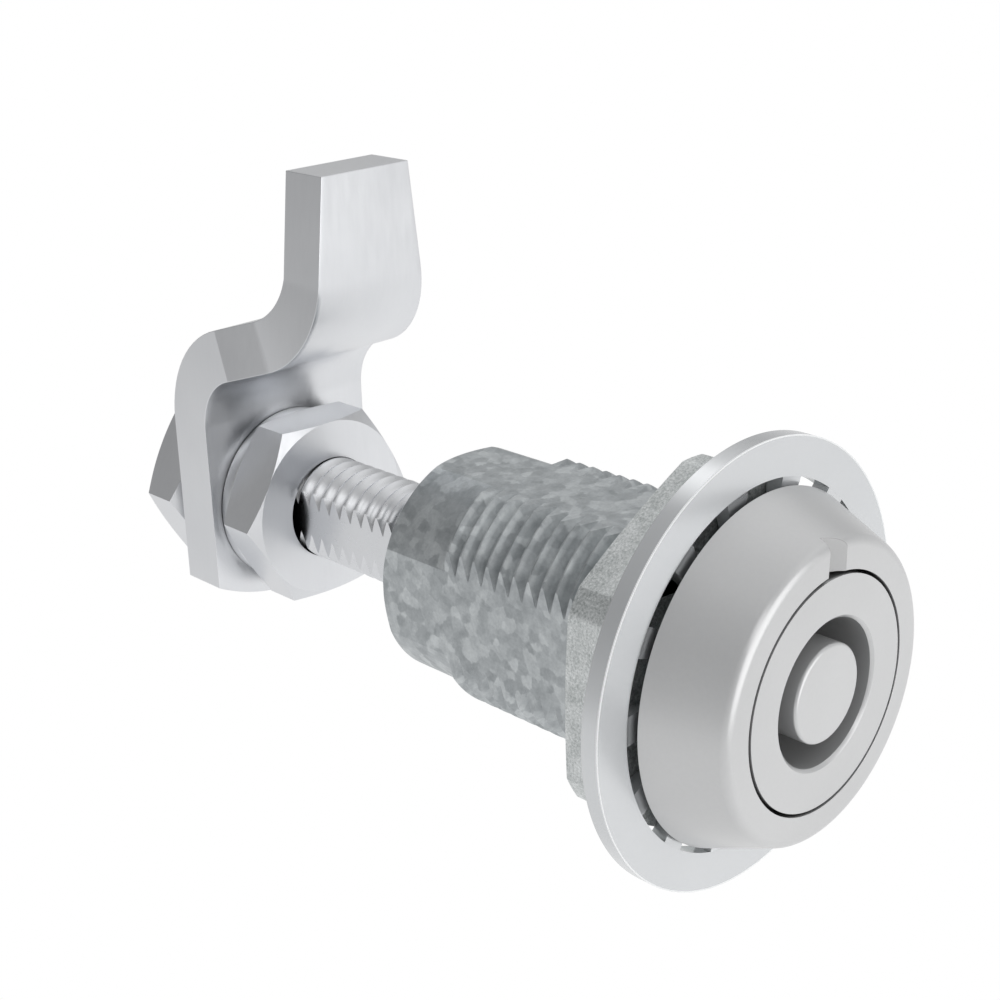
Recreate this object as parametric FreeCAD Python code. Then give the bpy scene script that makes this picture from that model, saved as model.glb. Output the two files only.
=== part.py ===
import FreeCAD, Part
import math
import os

# A compression latch for a sheet metal door, in millimetres.
# The axis of the latch is Y. The head faces -Y, the cranked arm is at +Y and points up at rest.
# The origin is on the axis, in the plane where the rim of the head sits on the panel.
# Turning the insert swings the arm by a quarter turn, and a second quarter turn draws it in.

# Head
SEAT_LAP = 3.55         # how far the rim of the head reaches over the panel, from the barrel
HEAD_H = 6.32           # head in front of the panel
HEAD_ROUND = 1.0        # rounding between the cone and the flat front
HEAD_ROUND_R = 11.68    # radius at which the centre of that rounding runs
NOTCH_W = 2.2           # position mark in the front of the head, with a sloping floor
NOTCH_DEPTH = 1.05
NOTCH_TURN = 2.4        # degrees from straight up
RIM_WALL = 0.8          # between the barrel and the groove for the seal behind the head
RIM_GROOVE_W = 1.6
RIM_GROOVE_DEPTH = 1.2
RIM_SEAL_WIRE = 0.75    # radius of the round seal in that groove

# Insert that the key turns
INSERT_R = 9.6
INSERT_GAP = 0.18
RECESS_R = 6.08
RECESS_DEPTH = 7.5
RECESS_BEVEL = 0.35
POST_R = 4.1
POST_ROUND = 0.3
KEY_SLOT_W = 2.0        # two pockets in the floor of the recess, which the key turns
KEY_SLOT_IN = 5.05
KEY_SLOT_DEPTH = 0.6
STEM_R = 6.95
SEAL_SIDES = 14         # sides of the seals' turned section
SPIGOT_R = 5.2
SPIGOT_END = 7.4

# Threaded barrel
THREAD_R = 11.3         # crest of the outside thread, M22
FLAT_X = 9.65           # the four flats, side and top
FLAT_Z = 9.85
BARREL_FRONT = -3.0
THREAD_END = 25.95
NECK_R = 10.42
NECK_BEVEL = 0.75
BARREL_END = 33.6
EDGE = 0.3              # small bevel at turned edges
STEP_Y = 2.4            # shoulder behind the stem bore
BORE_R = 7.95           # bore around the slotted sleeve
COLLAR_STEP_Y = 25.6
STEM_SEAL_WIRE = 0.62   # round seal in a groove around the insert's stem
STEM_SEAL_Y = 0.35
SEAL_SIDE_CLEAR = 0.1   # room beside that seal in its groove

# Toothed ring and mounting nut
RING_ROOT_R = 15.44     # where the teeth leave the ring
RING_BAND = 3.31        # width of the plain band outside the teeth
RING_FRONT = 0.5
RING_T = 1.5
TOOTH_COUNT = 14
TOOTH_START = 10.15     # degrees, edge of the first tooth, clockwise from straight up
TOOTH_ANGLE = 9.0       # degrees of the root circle that one tooth takes
TOOTH_ROOT_FLAT = 0.35  # part of a tooth that keeps the ring's thickness
TOOTH_TIP_CLEAR = 0.15  # between the tips and the barrel
TOOTH_TIP_W = 1.7
TOOTH_TIP_T = 0.9
TOOTH_TWIST = 15.0
NUT_WALL = 2.98         # from the thread to a flat of the nut
NUT_TRIM = 1.55         # how far the trimmed corners stand out beyond the flats
NUT_BEVEL = 0.22        # how far the back slopes away at the corners
NUT_BACK = 7.65
NUT_TURN = 1.2          # degrees from straight up

# Slotted sleeve, shaft and guide collar
SHAFT_R = 5.0           # crest of the M10 thread
SHAFT_FLAT = 4.0        # half of the width across the two flats
SHAFT_FRONT = 19.5
SHAFT_TAIL = 2.6        # thread that stands out behind the rear nut
NOSE_R = 2.0
NOSE_L = 1.6
SLEEVE_CLEAR = 0.1
SLEEVE_BORE_R = 5.25
SLEEVE_END = 24.9
SLEEVE_GAP = 0.5        # between the retaining ring on the stem and the sleeve
CROSS_PIN_R = 1.5
CROSS_PIN_Y = 22.0
CROSS_PIN_SHORT = 0.25  # how far the pin ends stay inside the sleeve
SLOT_CLEAR = 0.1
SLOT_STEPS = 16
DRAW = 6.0              # travel of the second quarter turn
TURN = 90.0
DRIVE_PIN_R = 1.25
DRIVE_PIN_Y = 5.6
COLLAR_R = 8.2
COLLAR_END = 32.2
STOP_PIN_R = 1.0
STOP_PIN_Y = 29.0
STOP_PIN_ANGLE = 135.0  # degrees, clockwise from straight up
STOP_PIN_IN = 6.75
STOP_GROOVE_R = 6.55
STOP_GROOVE_W = 2.3
STOP_SPARE = 0.1        # turn left over at the ends of the groove, at its floor
RUN_CLEAR = 0.06        # running clearance of turning and sliding fits
SEAT_CLEAR = 0.02       # clearance of screwed and pressed pieces

# Retaining rings, washers and spring
CLIP_T = 0.65
CLIP_OPEN = 50.0        # degrees that a retaining ring is open
STEM_CLIP_R = 7.75
STEM_CLIP_IN = 6.15
COLLAR_CLIP_R = 8.75
COLLAR_CLIP_IN = 6.9
THRUST_T = 0.6
THRUST_CLEAR = 0.35     # between the thrust washer and the shaft
SEAT_WASHER_R = 4.9
SEAT_WASHER_T = 0.6
SPRING_R = 3.9
SPRING_WIRE = 0.4
SPRING_TURNS = 5.5
SPRING_SIDES = 6        # sides of the wire's section

# Cranked arm
ARM_T = 4.9
TONGUE_FRONT = 44.42    # front face of the tongue
TONGUE_TOP = 34.12
TONGUE_BEND_Z = 24.52   # where the first bend starts
TONGUE_TIP_W = 5.07     # half widths along the arm
TONGUE_ROOT_W = 6.14
CRANK_TOP_W = 7.61
BASE_W = 9.84
BEND_1_R = 9.35         # outside radius of the first bend, on the front face
BEND_2_R = 5.92         # inside radius of the second bend, on the front face
CRANK_TURN = 73.67      # degrees by which the plate turns back
CRANK_L = 2.98
BASE_CORNER_Z = -7.45
BASE_BOTTOM_Z = -10.1

# Nuts and washers on the shaft
CAM_NUT_WALL = 3.7      # from the thread to a flat
CAM_NUT_T = 5.0
CAM_NUT_CHAMFER = 0.7
CAM_WASHER_R = 8.75
CAM_WASHER_T = 1.35
CAM_WASHER_CLEAR = 0.25

AXIS = FreeCAD.Vector(0, 1, 0)
HEAD_FRONT = -HEAD_H
SEAT_R = THREAD_R + SEAT_LAP
RIM_GROOVE_IN = THREAD_R + RIM_WALL
RIM_GROOVE_OUT = RIM_GROOVE_IN + RIM_GROOVE_W
NUT_FRONT = RING_FRONT + RING_T
NUT_AF = 2 * (THREAD_R + NUT_WALL)
CAM_NUT_AF = 2 * (SHAFT_R + CAM_NUT_WALL)


def vec(x, y, z):
    return FreeCAD.Vector(x, y, z)


def around(angle, radius, y):
    """Point at a clock angle around the axis, in degrees from straight up towards +X."""
    a = math.radians(angle)
    return vec(radius * math.sin(a), y, radius * math.cos(a))


def rod(radius, y0, y1):
    return Part.makeCylinder(radius, y1 - y0, vec(0, y0, 0), AXIS)


def tube(r_out, r_in, y0, y1):
    return rod(r_out, y0, y1).cut(rod(r_in, y0 - 1, y1 + 1))


def box(x0, x1, y0, y1, z0, z1):
    return Part.makeBox(x1 - x0, y1 - y0, z1 - z0, vec(x0, y0, z0))


def turned(points):
    """Solid of revolution about the axis from a list of (radius, y) corners."""
    corners = [vec(r, y, 0) for r, y in points]
    face = Part.Face(Part.makePolygon(corners + corners[:1]))
    return face.revolve(vec(0, 0, 0), AXIS, 360)


def seal(radius, wire, y):
    """Round seal, turned from a section with SEAL_SIDES sides."""
    corners = []
    for k in range(SEAL_SIDES):
        a = 2 * math.pi * (k + 0.5) / SEAL_SIDES
        corners.append((radius + wire * math.cos(a), y + wire * math.sin(a)))
    return turned(corners)


def spun(shape, angle):
    """Copy turned clockwise about the axis, seen from the head."""
    return shape.rotated(vec(0, 0, 0), AXIS, angle)


def radial_pin(angle, radius, y, r0, r1):
    start = around(angle, r0, y)
    return Part.makeCylinder(radius, r1 - r0, start, around(angle, 1, y) - vec(0, y, 0))


def double_d(radius, flat, y0, y1):
    """Round bar with two flats that face +X and -X."""
    return rod(radius, y0, y1).common(box(-flat, flat, y0, y1, -radius - 1, radius + 1))


def hexagon(across, y0, y1, turn):
    """Six-sided prism; a corner points straight up when turn is 0."""
    r = across / math.sqrt(3)
    corners = [around(60 * k + turn, r, y0) for k in range(6)]
    face = Part.Face(Part.makePolygon(corners + corners[:1]))
    return face.extrude(vec(0, y1 - y0, 0))


def sector(angle0, angle1, radius, y0, y1):
    """Wedge of the space around the axis between two clock angles."""
    steps = max(2, int(abs(angle1 - angle0) / 20) + 1)
    points = [vec(0, y0, 0)]
    for k in range(steps + 1):
        points.append(around(angle0 + (angle1 - angle0) * k / steps, radius, y0))
    face = Part.Face(Part.makePolygon(points + points[:1]))
    return face.extrude(vec(0, y1 - y0, 0))


def open_ring(r_out, r_in, y0, angle):
    """Retaining ring with its opening centred on a clock angle."""
    ring = tube(r_out, r_in, y0, y0 + CLIP_T)
    half = CLIP_OPEN / 2
    return ring.cut(sector(angle - half, angle + half, r_out + 2, y0 - 1, y0 + CLIP_T + 1))


def cone_tangent():
    """Half angle of the head's cone, so that it runs smoothly into the front rounding."""
    across = SEAT_R - HEAD_ROUND_R
    along = HEAD_H - HEAD_ROUND
    return math.acos(HEAD_ROUND / math.hypot(across, along)) - math.atan2(along, across)


def head_bezel():
    slope = cone_tangent()
    yc = HEAD_FRONT + HEAD_ROUND
    start = vec(SEAT_R, 0, 0)

    def on_round(a):
        return vec(HEAD_ROUND_R + HEAD_ROUND * math.cos(a), yc - HEAD_ROUND * math.sin(a), 0)

    bore = INSERT_R + INSERT_GAP
    tangent, crown = on_round(slope), on_round(math.pi / 2)
    arc = Part.Arc(tangent, on_round((slope + math.pi / 2) / 2), crown).toShape()
    pocket = THREAD_R + SEAT_CLEAR
    inner = [crown, vec(bore, HEAD_FRONT, 0), vec(bore, BARREL_FRONT, 0),
             vec(pocket, BARREL_FRONT, 0), vec(pocket, 0, 0), start]
    wire = Part.Wire([Part.makeLine(start, tangent), arc] + Part.makePolygon(inner).Edges)
    body = Part.Face(wire).revolve(vec(0, 0, 0), AXIS, 360)
    groove = tube(RIM_GROOVE_OUT, RIM_GROOVE_IN, -RIM_GROOVE_DEPTH, 1)
    half = NOTCH_W / 2
    corners = [vec(-half, HEAD_FRONT - 1, bore - 1), vec(-half, HEAD_FRONT + NOTCH_DEPTH, bore - 1),
               vec(half, HEAD_FRONT, bore - 1), vec(half, HEAD_FRONT - 1, bore - 1)]
    mark = Part.Face(Part.makePolygon(corners + corners[:1])).extrude(vec(0, 0, SEAT_R - bore))
    return body.cut(groove).cut(spun(mark, NOTCH_TURN))


def rim_seal():
    middle = (RIM_GROOVE_IN + RIM_GROOVE_OUT) / 2
    return seal(middle, RIM_SEAL_WIRE, -RIM_GROOVE_DEPTH + RIM_SEAL_WIRE)


def drive_insert():
    back = BARREL_FRONT - RUN_CLEAR
    floor = HEAD_FRONT + RECESS_DEPTH
    clip_y = STEP_Y + RUN_CLEAR / 2
    body = turned([(0, HEAD_FRONT), (INSERT_R, HEAD_FRONT), (INSERT_R, back), (STEM_R, back),
                   (STEM_R, sleeve_front() - RUN_CLEAR), (SPIGOT_R, sleeve_front() - RUN_CLEAR),
                   (SPIGOT_R, SPIGOT_END), (0, SPIGOT_END)])
    recess = turned([(POST_R, floor), (RECESS_R, floor), (RECESS_R, HEAD_FRONT + RECESS_BEVEL),
                     (RECESS_R + RECESS_BEVEL, HEAD_FRONT), (RECESS_R + RECESS_BEVEL, HEAD_FRONT - 1),
                     (POST_R - POST_ROUND, HEAD_FRONT - 1), (POST_R - POST_ROUND, HEAD_FRONT),
                     (POST_R, HEAD_FRONT + POST_ROUND)])
    ring = tube(RECESS_R, KEY_SLOT_IN, floor - 0.1, floor + KEY_SLOT_DEPTH)
    half = KEY_SLOT_W / 2
    slots = ring.common(box(-RECESS_R, RECESS_R, floor - 1, floor + 2, -half, half))
    clip = tube(STEM_R + 1, STEM_CLIP_IN - SEAT_CLEAR, clip_y - SEAT_CLEAR, clip_y + CLIP_T + SEAT_CLEAR)
    body = body.cut(recess).cut(slots).cut(clip)
    hole = Part.makeCylinder(DRIVE_PIN_R + SEAT_CLEAR, 4 * SPIGOT_R,
                             vec(-2 * SPIGOT_R, DRIVE_PIN_Y, 0), vec(1, 0, 0))
    return body.cut(hole)


def stem_seal():
    return seal(STEM_R + STEM_SEAL_WIRE + SEAT_CLEAR / 2, STEM_SEAL_WIRE, STEM_SEAL_Y)


def stem_clip():
    return open_ring(STEM_CLIP_R, STEM_CLIP_IN, STEP_Y + RUN_CLEAR / 2, 180)


def sleeve_front():
    return STEP_Y + RUN_CLEAR / 2 + CLIP_T + SLEEVE_GAP


def sleeve_r():
    return BORE_R - SLEEVE_CLEAR


def cam_sleeve():
    """Tube with two helical slots that draw the cross pin forwards as the sleeve turns."""
    body = tube(sleeve_r(), SLEEVE_BORE_R, sleeve_front(), SLEEVE_END)
    width = CROSS_PIN_R + SLOT_CLEAR
    cuts = []
    for side in (90, 270):
        for k in range(SLOT_STEPS + 1):
            t = k / SLOT_STEPS
            cuts.append(radial_pin(side - TURN * t, width, CROSS_PIN_Y - DRAW * t, 2, sleeve_r() + 2))
    body = body.cut(cuts)
    hole = Part.makeCylinder(DRIVE_PIN_R + SEAT_CLEAR, 4 * sleeve_r(),
                             vec(-2 * sleeve_r(), DRIVE_PIN_Y, 0), vec(1, 0, 0))
    return body.cut(hole)


def drive_pin():
    half = sleeve_r() - CROSS_PIN_SHORT
    return Part.makeCylinder(DRIVE_PIN_R, 2 * half, vec(-half, DRIVE_PIN_Y, 0), vec(1, 0, 0))


def flats():
    """What the four flats take off the barrel, behind the head."""
    inside = box(-FLAT_X, FLAT_X, -1, BARREL_END + 2, -FLAT_Z, FLAT_Z)
    return rod(THREAD_R + 1, 0, BARREL_END + 1).cut(inside)


def threaded_barrel():
    outer = turned([(0, BARREL_FRONT), (THREAD_R, BARREL_FRONT), (THREAD_R, THREAD_END),
                    (NECK_R, THREAD_END), (NECK_R, BARREL_END - NECK_BEVEL),
                    (NECK_R - NECK_BEVEL, BARREL_END), (0, BARREL_END)])
    outer = outer.cut(flats())
    clip_y = COLLAR_END + RUN_CLEAR / 2
    collar_bore = COLLAR_R + RUN_CLEAR
    bore = turned([(0, BARREL_FRONT - 1), (STEM_R + RUN_CLEAR, BARREL_FRONT - 1),
                   (STEM_R + RUN_CLEAR, STEP_Y), (BORE_R, STEP_Y), (BORE_R, COLLAR_STEP_Y),
                   (collar_bore, COLLAR_STEP_Y), (collar_bore, clip_y - SEAT_CLEAR),
                   (COLLAR_CLIP_R + SEAT_CLEAR, clip_y - SEAT_CLEAR),
                   (COLLAR_CLIP_R + SEAT_CLEAR, clip_y + CLIP_T + SEAT_CLEAR),
                   (collar_bore, clip_y + CLIP_T + SEAT_CLEAR), (collar_bore, BARREL_END + 1),
                   (0, BARREL_END + 1)])
    seal_half = STEM_SEAL_WIRE + SEAL_SIDE_CLEAR
    groove_r = STEM_R + 2 * STEM_SEAL_WIRE + SEAT_CLEAR
    groove = tube(groove_r, STEM_R, STEM_SEAL_Y - seal_half, STEM_SEAL_Y + seal_half)
    pin = radial_pin(STOP_PIN_ANGLE, STOP_PIN_R + SEAT_CLEAR, STOP_PIN_Y, STOP_PIN_IN, THREAD_R + 1)
    return outer.cut(bore).cut(groove).cut(pin)


def tooth(start):
    """One inward tooth, flat where it leaves the ring and twisted at its tip."""
    mid = start + TOOTH_ANGLE / 2
    y_mid = RING_FRONT + RING_T / 2
    root_w = RING_ROOT_R * math.radians(TOOTH_ANGLE)

    def section(radius, width, thick, twist):
        corners = []
        for s, t in ((-1, -1), (1, -1), (1, 1), (-1, 1)):
            u, v = s * width / 2, t * thick / 2
            a = math.radians(twist)
            corners.append(vec(u * math.cos(a) - v * math.sin(a),
                               y_mid + u * math.sin(a) + v * math.cos(a), radius))
        return Part.makePolygon(corners + corners[:1])

    sections = [section(RING_ROOT_R + RING_BAND / 10, root_w, RING_T, 0),
                section(RING_ROOT_R - TOOTH_ROOT_FLAT, root_w, RING_T, 0),
                section(THREAD_R + TOOTH_TIP_CLEAR, TOOTH_TIP_W, TOOTH_TIP_T, TOOTH_TWIST)]
    return spun(Part.makeLoft(sections, True, True), mid)


def toothed_ring():
    ring = tube(RING_ROOT_R + RING_BAND, RING_ROOT_R, RING_FRONT, NUT_FRONT)
    teeth = [tooth(TOOTH_START + 360 * k / TOOTH_COUNT) for k in range(TOOTH_COUNT)]
    return ring.fuse(teeth)


def mounting_nut():
    flat = NUT_AF / 2
    corner = flat + NUT_TRIM
    shape = turned([(0, NUT_FRONT), (corner, NUT_FRONT), (corner, NUT_BACK - NUT_BEVEL),
                    (flat, NUT_BACK), (0, NUT_BACK)])
    blank = hexagon(NUT_AF, NUT_FRONT, NUT_BACK, NUT_TURN).common(shape)
    return blank.cut(rod(THREAD_R + SEAT_CLEAR, NUT_FRONT - 1, NUT_BACK + 1))


def guide_collar():
    """Turning guide for the flatted shaft, with a quarter-turn groove for the stop pin."""
    front = COLLAR_STEP_Y + RUN_CLEAR / 2
    body = rod(COLLAR_R, front, COLLAR_END)
    body = body.cut(double_d(SHAFT_R + RUN_CLEAR, SHAFT_FLAT + RUN_CLEAR, front - 1, COLLAR_END + 1))
    spare = math.degrees(math.asin((STOP_PIN_R + STOP_SPARE) / STOP_GROOVE_R))
    half = STOP_GROOVE_W / 2
    groove = tube(COLLAR_R + 1, STOP_GROOVE_R, STOP_PIN_Y - half, STOP_PIN_Y + half)
    reach = sector(STOP_PIN_ANGLE - TURN - spare, STOP_PIN_ANGLE + spare, 2 * COLLAR_R,
                   STOP_PIN_Y - STOP_GROOVE_W, STOP_PIN_Y + STOP_GROOVE_W)
    return body.cut(groove.common(reach))


def stop_pin():
    return radial_pin(STOP_PIN_ANGLE, STOP_PIN_R, STOP_PIN_Y, STOP_PIN_IN, NECK_R - EDGE)


def collar_clip():
    return open_ring(COLLAR_CLIP_R, COLLAR_CLIP_IN, COLLAR_END + RUN_CLEAR / 2, 180)


def thrust_washer():
    y1 = COLLAR_STEP_Y + RUN_CLEAR / 2 - SEAT_CLEAR
    return tube(sleeve_r(), SHAFT_R + THRUST_CLEAR, y1 - THRUST_T, y1)


def base_front():
    """Y of the front face of the arm's foot, after both bends."""
    a = math.radians(CRANK_TURN)
    back = (BEND_1_R + BEND_2_R) * (1 - math.cos(a)) + CRANK_L * math.sin(a)
    return TONGUE_FRONT + back


def plate(start, end, half_start, half_end, turn):
    """Flat stretch of the arm between two (y, z) points on its front face, with tapering sides."""
    a = math.radians(turn)
    corners = [vec(-half_start, *start), vec(half_start, *start), vec(half_end, *end), vec(-half_end, *end)]
    face = Part.Face(Part.makePolygon(corners + corners[:1]))
    return face.extrude(vec(0, ARM_T * math.cos(a), ARM_T * math.sin(a)))


def bend(centre, inner, side, ends):
    """Bent stretch of the arm about a line along X; ends are (turn in degrees, half width)."""
    near = inner / 2
    far = 2 * (inner + ARM_T)
    sections = []
    for turn, half in ends:
        a = math.radians(turn)
        y, z = side * math.cos(a), side * math.sin(a)
        inside = (centre[0] + near * y, centre[1] + near * z)
        outside = (centre[0] + far * y, centre[1] + far * z)
        corners = [vec(-half, *inside), vec(half, *inside), vec(half, *outside), vec(-half, *outside)]
        sections.append(Part.makePolygon(corners + corners[:1]))
    along = vec(1, 0, 0)
    start = vec(-2 * BASE_W, *centre)
    pipe = Part.makeCylinder(inner + ARM_T, 4 * BASE_W, start, along)
    pipe = pipe.cut(Part.makeCylinder(inner, 4 * BASE_W, start, along))
    return pipe.common(Part.makeLoft(sections, True, True))


def cam_arm():
    a = math.radians(CRANK_TURN)
    front = base_front()
    # places on the front face as (y, z), from the tip of the tongue down to the foot
    tip = (TONGUE_FRONT, TONGUE_TOP)
    root = (TONGUE_FRONT, TONGUE_BEND_Z)
    centre_1 = (TONGUE_FRONT + BEND_1_R, TONGUE_BEND_Z)
    crank_top = (centre_1[0] - BEND_1_R * math.cos(a), centre_1[1] - BEND_1_R * math.sin(a))
    crank_end = (crank_top[0] + CRANK_L * math.sin(a), crank_top[1] - CRANK_L * math.cos(a))
    centre_2 = (crank_end[0] - BEND_2_R * math.cos(a), crank_end[1] - BEND_2_R * math.sin(a))
    corner_l, corner_r = vec(-BASE_W, front, BASE_CORNER_Z), vec(BASE_W, front, BASE_CORNER_Z)
    top_l, top_r = vec(-BASE_W, front, centre_2[1]), vec(BASE_W, front, centre_2[1])
    edges = Part.makePolygon([corner_r, top_r, top_l, corner_l]).Edges
    edges.append(Part.Arc(corner_l, vec(0, front, BASE_BOTTOM_Z), corner_r).toShape())
    foot = Part.Face(Part.Wire(edges)).extrude(vec(0, ARM_T, 0))
    body = foot.fuse([
        plate(tip, root, TONGUE_TIP_W, TONGUE_ROOT_W, 0),
        bend(centre_1, BEND_1_R - ARM_T, -1, [(0, TONGUE_ROOT_W), (CRANK_TURN, CRANK_TOP_W)]),
        plate(crank_top, crank_end, CRANK_TOP_W, BASE_W, CRANK_TURN),
        bend(centre_2, BEND_2_R, 1, [(CRANK_TURN, BASE_W), (0, BASE_W)]),
    ]).removeSplitter()
    hole = double_d(SHAFT_R + SEAT_CLEAR, SHAFT_FLAT + SEAT_CLEAR, front - 1, front + ARM_T + 1)
    return body.cut(hole)


def washer(y0):
    return tube(CAM_WASHER_R, SHAFT_R + CAM_WASHER_CLEAR, y0, y0 + CAM_WASHER_T)


def chamfered_nut(y0):
    """Thin hexagon nut, bevelled at both faces, with corners that point along X."""
    r = CAM_NUT_AF / math.sqrt(3)
    flat = CAM_NUT_AF / 2
    y1 = y0 + CAM_NUT_T
    blank = hexagon(CAM_NUT_AF, y0, y1, 30)
    shape = turned([(0, y0), (flat, y0), (r + 0.01, y0 + CAM_NUT_CHAMFER),
                    (r + 0.01, y1 - CAM_NUT_CHAMFER), (flat, y1), (0, y1)])
    return blank.common(shape).cut(rod(SHAFT_R + SEAT_CLEAR, y0 - 1, y1 + 1))


def cam_washers():
    front = base_front()
    return Part.makeCompound([washer(front - CAM_WASHER_T), washer(front + ARM_T)])


def cam_nuts():
    front = base_front() - CAM_WASHER_T - CAM_NUT_T
    back = base_front() + ARM_T + CAM_WASHER_T
    return Part.makeCompound([chamfered_nut(front), chamfered_nut(back)])


def shaft_end():
    return base_front() + ARM_T + CAM_WASHER_T + CAM_NUT_T + SHAFT_TAIL


def latch_shaft():
    end = shaft_end()
    body = turned([(0, SHAFT_FRONT), (SHAFT_R - EDGE, SHAFT_FRONT), (SHAFT_R, SHAFT_FRONT + EDGE),
                   (SHAFT_R, end - 2 * EDGE), (SHAFT_R - 2 * EDGE, end), (0, end)])
    body = body.common(box(-SHAFT_FLAT, SHAFT_FLAT, SHAFT_FRONT, end, -SHAFT_R - 1, SHAFT_R + 1))
    nose = rod(NOSE_R, SHAFT_FRONT - NOSE_L, SHAFT_FRONT)
    hole = Part.makeCylinder(CROSS_PIN_R + SEAT_CLEAR, 4 * SHAFT_R,
                             vec(-2 * SHAFT_R, CROSS_PIN_Y, 0), vec(1, 0, 0))
    return body.fuse(nose).cut(hole)


def cross_pin():
    half = sleeve_r() - CROSS_PIN_SHORT
    return Part.makeCylinder(CROSS_PIN_R, 2 * half, vec(-half, CROSS_PIN_Y, 0), vec(1, 0, 0))


def spring_seat():
    return tube(SEAT_WASHER_R, NOSE_R + SEAT_CLEAR, SHAFT_FRONT - SEAT_WASHER_T, SHAFT_FRONT)


def return_spring():
    y0 = SPIGOT_END + SPRING_WIRE + SEAT_CLEAR
    y1 = SHAFT_FRONT - SEAT_WASHER_T - SPRING_WIRE - SEAT_CLEAR
    height = y1 - y0
    helix = Part.makeHelix(height / SPRING_TURNS, height, SPRING_R)
    corners = []
    for k in range(SPRING_SIDES):
        a = 2 * math.pi * k / SPRING_SIDES
        corners.append(vec(SPRING_R + SPRING_WIRE * math.cos(a), 0, SPRING_WIRE * math.sin(a)))
    profile = Part.makePolygon(corners + corners[:1])
    coil = Part.Wire(helix.Edges).makePipeShell([profile], True, True)
    coil.rotate(vec(0, 0, 0), vec(1, 0, 0), -90)
    coil.translate(vec(0, y0, 0))
    return coil


PIECES = {
    "head_bezel": head_bezel,
    "rim_seal": rim_seal,
    "drive_insert": drive_insert,
    "stem_seal": stem_seal,
    "stem_clip": stem_clip,
    "threaded_barrel": threaded_barrel,
    "toothed_ring": toothed_ring,
    "mounting_nut": mounting_nut,
    "cam_sleeve": cam_sleeve,
    "drive_pin": drive_pin,
    "guide_collar": guide_collar,
    "stop_pin": stop_pin,
    "collar_clip": collar_clip,
    "thrust_washer": thrust_washer,
    "latch_shaft": latch_shaft,
    "cross_pin": cross_pin,
    "spring_seat": spring_seat,
    "return_spring": return_spring,
    "cam_arm": cam_arm,
    "cam_washers": cam_washers,
    "cam_nuts": cam_nuts,
}

os.makedirs("parts", exist_ok=True)
for name, make in PIECES.items():
    shape = make()
    shape.exportStep("parts/" + name + ".step")
    print(name, round(shape.Volume, 1), len(shape.Solids), shape.isValid())
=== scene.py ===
import math
import bmesh
import bpy
from mathutils import Matrix, Vector


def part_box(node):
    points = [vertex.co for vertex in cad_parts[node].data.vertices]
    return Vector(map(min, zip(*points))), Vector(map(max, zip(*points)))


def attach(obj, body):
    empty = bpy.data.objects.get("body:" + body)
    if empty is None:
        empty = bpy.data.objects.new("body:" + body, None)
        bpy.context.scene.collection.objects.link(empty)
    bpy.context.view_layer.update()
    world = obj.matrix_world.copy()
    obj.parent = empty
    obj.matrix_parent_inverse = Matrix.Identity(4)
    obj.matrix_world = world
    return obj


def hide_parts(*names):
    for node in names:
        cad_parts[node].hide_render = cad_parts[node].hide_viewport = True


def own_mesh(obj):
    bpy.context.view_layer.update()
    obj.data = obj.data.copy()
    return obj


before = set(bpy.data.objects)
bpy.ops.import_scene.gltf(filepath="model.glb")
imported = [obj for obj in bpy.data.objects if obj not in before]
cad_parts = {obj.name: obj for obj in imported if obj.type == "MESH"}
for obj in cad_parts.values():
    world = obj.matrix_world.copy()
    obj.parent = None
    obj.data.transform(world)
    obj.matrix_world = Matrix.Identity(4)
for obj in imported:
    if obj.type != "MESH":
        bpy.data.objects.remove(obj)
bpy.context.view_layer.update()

# Looks of a compression latch. The axis is Y, the head faces -Y and the arm points up (+Z).
# Lengths are metres, and mm() turns the named millimetres into them.

scene = bpy.context.scene


def mm(value):
    return value * 0.001


# Sizes that are read from the frame
def low(node):
    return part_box(node)[0]


def high(node):
    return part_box(node)[1]


HEAD_R = high("head_bezel").x
HEAD_FRONT = low("head_bezel").y
INSERT_R = high("drive_insert").x
INSERT_BACK_END = high("drive_insert").y
RING_R = high("toothed_ring").x
RING_FRONT = low("toothed_ring").y
RING_BACK = high("toothed_ring").y
NUT_FRONT = low("mounting_nut").y
NUT_BACK = high("mounting_nut").y
BARREL_FRONT = low("threaded_barrel").y
BARREL_END = high("threaded_barrel").y
SHAFT_FRONT = low("latch_shaft").y
SHAFT_END = high("latch_shaft").y
SHAFT_FLAT = high("latch_shaft").x
SHAFT_R = high("latch_shaft").z
ARM_TOP = high("cam_arm").z
ARM_BOTTOM = low("cam_arm").z
ARM_W = high("cam_arm").x
TONGUE_FRONT = low("cam_arm").y
FOOT_BACK = high("cam_arm").y
WASHER_R = high("cam_washers").x

# Sizes that the frame's boxes don't give; names in _R are radii, in _T thicknesses, in _AF widths across flats
# Head
HEAD_ROUND = mm(1.0)
HEAD_ROUND_R = mm(11.68)        # where the centre of the front rounding lies
INSERT_GAP = mm(0.30)           # as wide as the dark line in the photograph, wider than in the solids
NOTCH_W = mm(2.2)
NOTCH_DEPTH = mm(1.05)
NOTCH_TURN = 2.4                # degrees
RIM_GROOVE = (mm(12.1), mm(13.7), mm(1.2))     # inner radius, outer radius, depth
# Drive insert
RECESS_R = mm(6.08)
RECESS_DEPTH = mm(7.5)
RECESS_BEVEL = mm(0.26)
POST_R = mm(4.1)
POST_ROUND = mm(0.3)
KEY_SLOT_W = mm(2.0)
KEY_SLOT_IN = mm(5.05)
KEY_SLOT_DEPTH = mm(0.6)
STEM_R = mm(6.95)
SPIGOT_R = mm(5.2)
SPIGOT_START = mm(3.52)
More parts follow.
